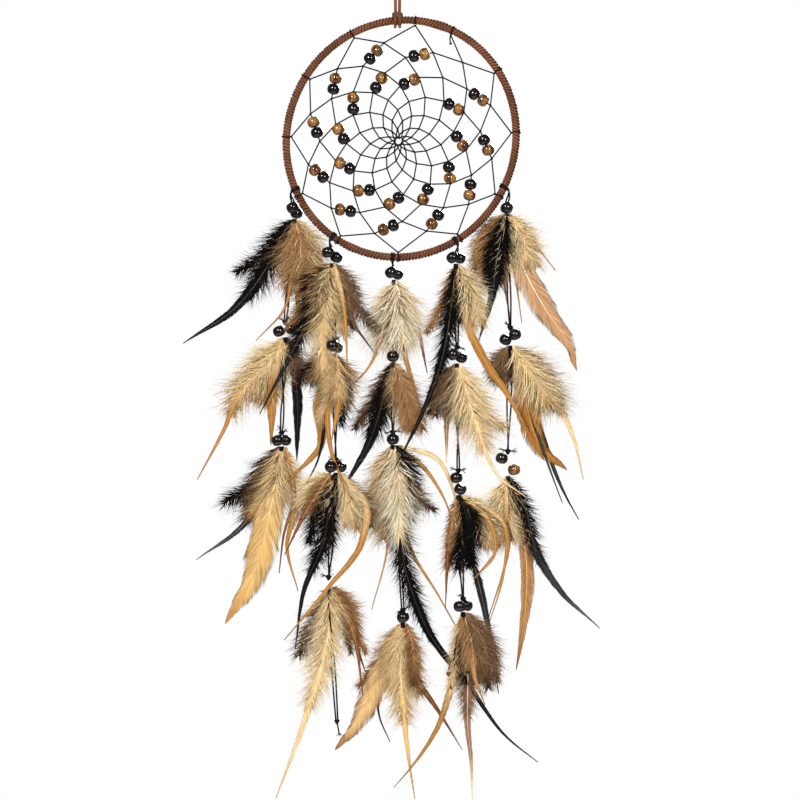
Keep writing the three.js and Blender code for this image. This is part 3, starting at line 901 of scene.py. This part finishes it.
def wandering(t, size, bends):
    """A smooth random value along the shaft, with so many bends."""
    return np.interp(t, np.linspace(0, 1, bends), RNG.normal(0, size, bends))


def down_outline(v):
    """Half-width of the down, 0 to 1: it opens fast below the quill, is fullest below its middle and then
    narrows."""
    return np.clip(v / 0.14, 0, 1) ** 0.5 * np.clip((1.06 - v) / 0.55, 0, 1) ** 0.7


def vane_outline(form, v):
    """Half-width of the vane, 0 to 1: a leaf keeps its breadth to half way, and a blade is broad early
    and then tapers."""
    if form == "leaf":
        return np.clip(v / 0.25, 0, 1) ** 0.6 * np.clip((1 - v) / 0.5, 0, 1) ** 0.75
    return np.clip(v / 0.14, 0, 1) ** 0.6 * (1 - v) ** 0.85 * 1.1


def shaft_frame(points, lift):
    """A feather's shaft, with its tip lifted towards the viewer, and the tangent, side and normal at each
    of its places, turned about it by a slow roll."""
    s = np.linspace(0, 1, SHAFT_SAMPLES)
    path = curve_through(points, SHAFT_SAMPLES) + (lift * s**1.6)[:, None] * FRONT
    tangent = unit(np.gradient(path, axis=0))
    side = unit(np.cross(tangent, FRONT))
    normal = np.cross(side, tangent)
    roll = np.radians(RNG.uniform(-22, 22) + RNG.uniform(-22, 22) * s)[:, None]
    normal, side = turned(normal, side, roll)
    return path, tangent, side, normal


def grow(shaft, t, sign, spread, reach, angle, curl, wave, droop, width, thick, downy):
    """Barbs at the shares t of the shaft, on the side of sign, turned out of the vane's plane by spread.
    Returns their points and faces, then for each point its place along the shaft and out along the barb
    with the barb's random shade, and how downy it is."""
    s = np.linspace(0, 1, SHAFT_SAMPLES)
    root, along, across, up = (np.stack([np.interp(t, s, v[:, k]) for k in range(3)], axis=1) for v in shaft)
    up, across = turned(up, across * sign[:, None], spread[:, None])
    made, u = barbs(root, unit(along), unit(across), unit(up), reach, angle, curl, wave, droop, width, thick)
    out = np.concatenate([np.repeat(u[:-1], 3), [1.0]])
    shade = RNG.uniform(0, 1, len(t))
    mark = np.stack(np.broadcast_arrays(t[:, None], out[None, :], shade[:, None]), axis=-1)
    return made.reshape(-1, 3), barb_faces(len(t)), mark.reshape(-1, 3), np.repeat(downy, made.shape[1])


def grow_down(shaft, form, breadth, spacing, fill, width, thick, ragged):
    """One layer of down: barbs at uneven places on both sides, in clumps that lean the same way."""
    first, last = FORMS[form]["down"]
    loose = FORMS[form]["loose"]
    length = far_along(shaft[0])[-1]
    count = int(length * (last - first) / spacing)
    v = (np.arange(count) + RNG.uniform(0, 1, count)) / count
    t = first + (last - first) * v
    sign = np.where(np.arange(count) % 2, -1.0, 1.0)
    clump = wandering(t * 0.5 + 0.25 * (sign + 1), 0.14, 2 * int(10 + length / (3 * MM)))
    angle = np.maximum(np.radians(35 - 9 * v + RNG.normal(0, 7 * loose, count)) + clump * loose, 0.2)
    uneven = 1 + RNG.uniform(-1, 1, count) * ragged
    reach = 0.63 * breadth * down_outline(v) * fill * uneven / np.sin(angle + 0.12)
    reach = np.clip(reach * (1 + 1.2 * clump), 1.5 * MM, 1.05 * breadth)
    downy = np.clip((0.97 if form == "puff" else 1.0) - v**3 * 0.8, 0, 1)
    spread = RNG.normal(0, 0.36 * loose, count)
    curl = RNG.normal(0.22, 0.26, count)
    wave = RNG.uniform(0.05, 0.28, count) * loose
    droop = RNG.uniform(0, 0.3, count)
    return grow(shaft, t, sign, spread, reach, angle, curl, wave, droop, width, thick, downy)


def grow_vane(shaft, form, breadth):
    """The vane: close, flat barbs at even places on both sides, each long enough to end on the vane's
    outline."""
    first, last = FORMS[form]["vane"]
    length = far_along(shaft[0])[-1] * (last - first)
    per_side = int(length / VANE_SPACING)
    count = 2 * per_side
    v = np.tile((np.arange(per_side) + 0.5) / per_side, 2)
    sign = np.repeat([-1.0, 1.0], per_side)
    half = 0.5 * v + 0.25 * (sign + 1)
    angle = np.radians(36 - 15 * v) + wandering(half, 0.05, 32) + RNG.normal(0, 0.015, count)
    mean_angle = angle * 0.9
    rough = (1 + wandering(half, 0.05, 44)) / np.sin(mean_angle)
    reach = breadth / 2 * vane_outline(form, v) * rough
    for _ in range(12):  # where a barb ends depends on its reach, so the reach settles step by step
        end = np.clip(v + reach * np.cos(mean_angle) / length, 0, 1)
        reach = 0.6 * reach + 0.4 * breadth / 2 * vane_outline(form, end) * rough
    wave = RNG.uniform(0.0, 0.04, count)
    return grow(
        shaft, first + (last - first) * v, sign, np.full(count, 0.12), reach + 0.5 * MM, angle,
        np.full(count, -0.22), wave, np.zeros(count), 0.8 * MM, 0.16 * MM, 0.55 * np.clip(1 - v / 0.25, 0, 1),
    )


def feather(name, body, form, tone, points, down_breadth, vane_breadth=0.0, lift=0.0, stands_for=None):
    """One feather: a tapered shaft through the points, down near its root, and for all but a puff a vane
    beyond."""
    shaft = shaft_frame(points, lift)
    layers = [grow_down(shaft, form, down_breadth, *layer) for layer in DOWN_LAYERS]
    if FORMS[form]["vane"]:
        layers.append(grow_vane(shaft, form, vane_breadth))

    s = np.linspace(0, 1, SHAFT_SAMPLES)
    thick = FORMS[form]["shaft"] * MM * (0.25 + 0.75 * (1 - s) ** 0.8)
    thick[-1] *= 0.3
    rod = sweep(shaft[0], round_profile(1.0, SHAFT_SIDES), shaft[3], size=thick)
    rod_faces = swept_faces(SHAFT_SAMPLES, SHAFT_SIDES, False)
    around = np.repeat(s, SHAFT_SIDES)
    mark = np.stack([around, 0 * around, 0 * around + 0.5], axis=1)
    layers.append((rod, rod_faces, mark, 0 * around))

    points, faces = merged([layer[:2] for layer in layers])
    points[:, 1] = DEPTH * np.tanh(points[:, 1] / DEPTH)  # the bunches lie fairly flat
    slots = np.zeros(sum(len(group) for group in faces))
    # The shaft's faces come last, and take the quill's material.
    slots[-sum(len(group) for group in rod_faces):] = 1
    kept = [(key, np.concatenate([layer[k] for layer in layers])) for key, k in (("barb", 2), ("down", 3))]
    piece = add_piece(name, points, faces, TONES[tone], slots=slots, attributes=kept)
    fit(piece, body, stands_for)


# Every bunch, by drop and level. A feather is its form, its tone, the breadth of its down and of its vane
# in mm, how far forward it lies in the bunch, and its way, as points in mm from the hub of its level.
BUNCHES = {
    (1, 1): [
        ("hackle", "black", 28, 13, 1, [(0, -5), (-10, -20), (-22, -45), (-48, -80), (-94, -112)]),
        ("puff", "cream", 30, 0, 3, [(2, -6), (10, -30), (13, -58)]),
        ("hackle", "tan", 34, 8, 5, [(0, -5), (5, -26), (3, -55), (3, -104)]),
        ("spear", "golden", 6, 6, 4, [(0, -6), (-2, -45), (-8, -82), (-32, -110)]),
    ],
    (1, 2): [
        ("puff", "cream", 32, 0, 2, [(0, -5), (-8, -30), (-18, -60)]),
        ("hackle", "golden", 34, 6, 4, [(0, -5), (-14, -28), (-37, -52), (-52, -85), (-74, -126)]),
        ("leaf", "golden", 8, 11, 5, [(-2, -6), (-9, -40), (-12, -97)]),
        ("leaf", "black", 16, 11, 1, [(2, -6), (9, -45), (10, -110)]),
        ("puff", "brown", 18, 0, 4, [(3, -6), (10, -24), (12, -44)]),
    ],
    (1, 3): [
        ("hackle", "grey", 30, 9, 1, [(-2, -5), (-16, -35), (-30, -68), (-72, -101)]),
        ("leaf", "honey", 34, 33, 4, [(0, -4), (-4, -30), (-12, -72), (-24, -115), (-47, -154)]),
        ("hackle", "golden", 18, 6, 3, [(2, -6), (13, -50), (5, -90), (14, -127)]),
        ("spear", "rust", 8, 5, 5, [(4, -8), (10, -50), (2, -80), (-2, -112)]),
    ],
    (2, 1): [
        ("hackle", "black", 28, 7, 1, [(-2, -5), (-14, -22), (-19, -50), (-35, -84), (-61, -134)]),
        ("puff", "barred", 20, 0, 4, [(0, -5), (-8, -22), (-14, -44)]),
        ("hackle", "golden", 28, 10, 5, [(0, -6), (-8, -60), (-5, -115), (1, -170), (17, -205)]),
        ("hackle", "brown", 24, 5, 4, [(2, -6), (12, -28), (17, -54), (35, -82)]),
        ("spear", "golden", 5, 5, 6, [(2, -6), (10, -45), (13, -99)]),
    ],
    (2, 2): [
        ("puff", "grey", 20, 0, 2, [(-3, -6), (-15, -16), (-21, -31)]),
        ("puff", "tan", 32, 0, 4, [(1, -5), (3, -25), (-2, -47)]),
        ("leaf", "golden", 8, 9, 2, [(0, -6), (-14, -45), (-12, -80), (-41, -115)]),
        ("hackle", "golden", 24, 9, 5, [(2, -6), (4, -40), (-2, -78)]),
        ("spear", "black", 6, 5, 1, [(-2, -6), (-8, -60), (-14, -95), (-28, -123)]),
    ],
    (2, 3): [
        ("hackle", "black", 27, 8, 2, [(-1, -5), (-5, -30), (-10, -62), (-26, -102), (-34, -153)]),
        ("puff", "cream", 26, 0, 4, [(3, -6), (14, -28), (18, -52)]),
        ("puff", "cream", 20, 0, 1, [(-4, -8), (-20, -18), (-28, -36)]),
        ("hackle", "rust", 16, 5, 3, [(-4, -8), (-26, -40), (-43, -74)]),
        ("spear", "golden", 6, 8, 6, [(4, -6), (25, -32), (22, -62), (-6, -101), (-43, -145)]),
    ],
    (2, 4): [
        ("hackle", "cream", 32, 9, 4, [(0, -5), (1, -30), (-4, -62), (-18, -110), (-44, -181)]),
        ("hackle", "rust", 20, 7, 2, [(3, -5), (16, -20), (24, -55), (31, -76)]),
        ("hackle", "rust", 12, 5, 3, [(3, -5), (20, -40), (29, -95)]),
    ],
    (3, 1): [
        ("puff", "white", 42, 0, 2, [(0, -4), (-3, -30), (-5, -60)]),
        ("puff", "white", 40, 0, 5, [(2, -4), (6, -28), (8, -58)]),
        ("spear", "golden", 6, 6, 3, [(-1, -6), (-10, -50), (-22, -80), (-39, -98)]),
        ("hackle", "golden", 12, 6, 4, [(1, -6), (6, -55), (16, -94), (27, -128)]),
        ("hackle", "rust", 12, 6, 1, [(2, -6), (18, -40), (28, -84)]),
    ],
    (3, 2): [
        ("hackle", "black", 26, 12, 2, [(0, -5), (-8, -35), (-18, -68), (-45, -117)]),
        ("puff", "tan", 28, 0, 4, [(2, -5), (8, -28), (17, -63)]),
    ],
    (3, 3): [
        ("puff", "cream", 38, 0, 2, [(-1, -4), (-6, -40), (-8, -84)]),
        ("puff", "white", 36, 0, 5, [(1, -4), (5, -40), (6, -82)]),
        ("puff", "black", 18, 0, 6, [(3, -6), (14, -22), (20, -42)]),
        ("spear", "golden", 5, 5, 3, [(2, -6), (24, -22), (44, -52), (51, -71)]),
        ("spear", "cream", 5, 5, 1, [(3, -6), (36, -16), (55, -57), (61, -82)]),
        ("hackle", "black", 24, 10, 3,
         [(0, -60), (14, -122), (30, -162), (62, -205), (97, -252), (122, -272)]),
        ("spear", "golden", 6, 5, 4, [(0, -60), (18, -99), (36, -128), (58, -167)]),
        ("spear", "golden", 5, 4, 2, [(0, -60), (-6, -100), (-18, -144)]),
    ],
    (3, 4): [
        ("hackle", "honey", 32, 7, 3, [(2, -5), (-2, -34), (0, -75), (5, -120), (10, -153)]),
        ("leaf", "fawn", 24, 25, 2, [(-2, -6), (-20, -50), (-38, -88), (-57, -112)]),
        ("spear", "black", 5, 5, 1, [(-1, -8), (-20, -55), (-20, -84), (-11, -106)]),
        ("puff", "rust", 18, 0, 5, [(3, -6), (9, -28), (9, -56)]),
        ("hackle", "rust", 12, 8, 1, [(2, -6), (9, -47), (29, -78), (50, -112)]),
    ],
    (4, 1): [
        ("hackle", "black", 21, 8, 5, [(0, -6), (-4, -40), (-10, -78), (-28, -130), (-52, -178)]),
        ("puff", "cream", 28, 0, 4, [(2, -5), (11, -28), (14, -57)]),
        ("leaf", "golden", 8, 9, 3, [(3, -6), (8, -50), (24, -86), (44, -116), (62, -150)]),
    ],
    (4, 2): [
        ("puff", "brown", 22, 0, 2, [(-2, -5), (-12, -26), (-18, -50)]),
        ("puff", "cream", 30, 0, 3, [(0, -5), (4, -26), (6, -52)]),
        ("hackle", "cream", 38, 6, 5, [(1, -5), (9, -34), (18, -64), (34, -100), (60, -120)]),
        ("hackle", "mauve", 14, 8, 1, [(-1, -6), (-8, -45), (-9, -90)]),
    ],
    (4, 3): [
        ("puff", "cream", 26, 0, 1, [(3, -6), (18, -26), (26, -54)]),
        ("puff", "black", 27, 0, 4, [(0, -6), (7, -28), (4, -52), (0, -72)]),
        ("hackle", "teal", 10, 9, 2, [(2, -8), (10, -55), (20, -96), (27, -130), (34, -177)]),
        ("spear", "golden", 6, 5, 5, [(3, -8), (28, -36), (30, -60), (13, -80)]),
        ("spear", "golden", 5, 5, 3, [(4, -8), (38, -34), (38, -76), (26, -118)]),
        ("hackle", "rust", 14, 6, 4, [(-1, -8), (-8, -50), (-11, -104)]),
    ],
    (4, 4): [
        ("hackle", "tan", 27, 8, 4, [(0, -6), (7, -30), (10, -60), (18, -82)]),
        ("puff", "brown", 24, 0, 5, [(3, -6), (17, -30), (21, -68)]),
        ("hackle", "golden", 12, 8, 3, [(-1, -8), (-9, -60), (-20, -98), (-45, -137), (-58, -152)]),
        ("hackle", "mauve", 25, 9, 1, [(1, -8), (4, -50), (4, -100), (7, -132), (8, -164)]),
    ],
    (5, 1): [
        ("puff", "tan", 24, 0, 2, [(-1, -4), (-13, -20), (-20, -62)]),
        ("hackle", "black", 28, 13, 6, [(0, -4), (-7, -35), (-13, -75), (-24, -113)]),
        ("puff", "cream", 28, 0, 3, [(2, -4), (12, -22), (18, -50)]),
        ("leaf", "peach", 14, 26, 1, [(2, -6), (14, -50), (32, -84), (50, -112), (59, -137)]),
        ("spear", "golden", 4, 4, 1, [(0, -8), (-2, -60), (4, -97)]),
        ("spear", "golden", 4, 4, 2, [(1, -8), (8, -60), (13, -97)]),
        ("spear", "golden", 3, 3, 4, [(3, -6), (20, -26), (41, -53)]),
    ],
    (5, 2): [
        ("puff", "brown", 24, 0, 2, [(-2, -6), (-6, -18), (-8, -38)]),
        ("puff", "cream", 42, 0, 4, [(2, -6), (15, -26), (33, -56)]),
        ("leaf", "golden", 14, 25, 3, [(2, -6), (12, -50), (26, -92), (48, -112)]),
        ("hackle", "cream", 24, 8, 1, [(3, -6), (30, -40), (54, -86), (62, -120)]),
        ("hackle", "teal", 8, 7, 2, [(3, -8), (26, -80), (46, -132), (58, -154)]),
        ("spear", "teal", 5, 5, 1, [(3, -8), (24, -84), (38, -124), (44, -140)]),
    ],
    (5, 3): [
        ("puff", "cream", 34, 0, 2, [(0, -6), (-3, -32), (2, -63)]),
        ("hackle", "smoke", 17, 10, 6, [(1, -6), (14, -36), (24, -74), (42, -104), (77, -138)]),
        ("spear", "golden", 5, 5, 5, [(-1, -8), (-6, -66), (-27, -95)]),
        ("spear", "golden", 5, 5, 1, [(0, -8), (0, -74), (-16, -129)]),
        ("leaf", "tan", 8, 15, 3, [(1, -8), (13, -60), (16, -100), (13, -135), (7, -174)]),
    ],
}


# The tone of the feather under another, where it isn't the same, and the tones drawn from for one beside
# it.
UNDER_TONE = {"golden": "cream", "rust": "tan", "grey": "black", "white": "cream", "barred": "cream"}
SIDE_TONES = ("brown", "black", "tan", "brown", "cream", "grey")


def back_feathers(name, body, k, tone, points, breadth):
    """Two shorter, softer feathers are bound in behind a broad one, and fan out on either side of it.
    Lengths are in mm, from the hoop's centre."""
    short = points[0] + (points - points[0]) * min(1.0, 62 / np.linalg.norm(points[-1] - points[0]))
    left = RNG.choice([-1, 1])
    under = ("under", left, UNDER_TONE.get(tone, tone), 2.5)
    beside = ("side", -left, RNG.choice(SIDE_TONES), 5.0)
    for kind, side, tint, behind in (under, beside):
        fan = np.linspace(0, side * RNG.uniform(5, 11), len(points))
        away = np.stack([fan, np.linspace(0, behind, len(points)), np.abs(fan) * 0.2], axis=1)
        label = f"{name}_{tint}_{kind}feather_{k}"
        feather(label, body, "puff", tint, HOOP + (short + away) * MM, breadth * 0.8 * MM)


def dress_drops():
    for (index, level), bunch in BUNCHES.items():
        drop = DROPS[index - 1]
        spot = drop["hubs"][level - 1]
        hub = np.array([spot[0], drop["plane"], spot[1]])
        top = reach_of(drop["leans"][level - 1]) / MM + 0.3
        name, body = f"drop_{index}_level_{level}", f"drop_{index}_section_{level}"
        for k, (form, tone, down_breadth, vane_breadth, forward, way) in enumerate(bunch, start=1):
            points = np.array([(x, 0.0, z) for x, z in way]) + hub
            points[:, 1] -= 1.8 * (forward - 3.0) * np.clip(np.linspace(0, 2, len(way)), 0.25, 1)
            points[0, 2] = hub[2] - top
            lift = RNG.uniform(-5, 5) * MM
            stands_for = f"drop_{index}_feathers_{level}" if k == 1 else None
            feather(
                f"{name}_{tone}_{form}_{k}", body, form, tone, HOOP + points * MM, down_breadth * MM,
                vane_breadth * MM, lift, stands_for,
            )
            if down_breadth >= 20:
                back_feathers(name, body, k, tone, points, down_breadth)


dress_drops()


# ---------------- stage, camera and light

VIEW_MIDDLE = HOOP - [0.001, 0, 0.22]  # what the camera looks at, well below the hoop's centre


def stage_floor():
    """A thin round board under the object: a disc's outline swept from its middle, over the rim and back
    under."""
    radius, top, thick, sides = 0.80, -0.90, 0.012, 96
    share = np.array([0.0, 0.5, 0.994, 0.999, 1.0, 0.999, 0.0])[:, None]
    sunk = np.array([0.0, 0.0, 0.0, 0.3, 0.7, 1.0, 1.0])[:, None]
    turn = circle(sides)
    points = np.stack([
        HOOP[0] + radius * share * np.cos(turn), radius * share * np.sin(turn), top - thick * sunk + 0 * turn,
    ], axis=-1)
    material, tree, shader = new_material("floor_board")
    speck = noise(tree, 30, 2)
    colour = mixed(tree, speck, (0.88, 0.87, 0.86), (0.93, 0.92, 0.91))
    tree.links.new(colour, shader.inputs["Base Color"])
    tree.links.new(ranged(tree, speck, 0.3, 0.7, 0.75, 0.9), shader.inputs["Roughness"])
    add_piece("floor_board", points, [grid_faces(len(share), sides)[:, ::-1]], [material])


def area_light(name, place, target, size, power):
    light = bpy.data.lights.new(name, "AREA")
    light.shape, light.size, light.energy = "DISK", size, power
    lamp = bpy.data.objects.new(name, light)
    lamp.location = place
    lamp.rotation_euler = (Vector(target) - Vector(place)).to_track_quat("-Z", "Y").to_euler()
    bpy.context.scene.collection.objects.link(lamp)


def set_stage():
    stage_floor()
    target = (HOOP[0], 0, VIEW_MIDDLE[2])
    area_light("key", (-0.8, -1.7, 0.5), target, 0.40, 56)
    area_light("fill", (0.9, -1.7, 0.2), target, 0.40, 30)
    area_light("back", (0.5, 1.8, 0.4), target, 0.60, 40)
    # The studio is white to look at, and lights the object with a third of that.
    world = bpy.data.worlds.new("studio")
    world.use_nodes = True
    tree = world.node_tree
    tree.nodes["Background"].inputs["Color"].default_value = (1, 1, 1, 1)
    looked_at = node(tree, "ShaderNodeLightPath").outputs["Is Camera Ray"]
    brightness = ranged(tree, looked_at, 0.0, 1.0, 0.32, 1.0)
    tree.links.new(brightness, tree.nodes["Background"].inputs["Strength"])
    bpy.context.scene.world = world
    bpy.context.scene.view_settings.view_transform = "Standard"


def aim_camera():
    """Straight on, from the front. seen is the width in view at the object's distance."""
    seen, distance, sensor = 0.6734, 2.2, 36.0
    camera = bpy.data.cameras.new("camera")
    camera.sensor_width = sensor
    camera.lens = sensor * distance / seen
    holder = bpy.data.objects.new("camera", camera)
    holder.location = (VIEW_MIDDLE[0], -distance, VIEW_MIDDLE[2])
    holder.rotation_euler = (math.pi / 2, 0, 0)
    bpy.context.scene.collection.objects.link(holder)
    bpy.context.scene.camera = holder


set_stage()
aim_camera()
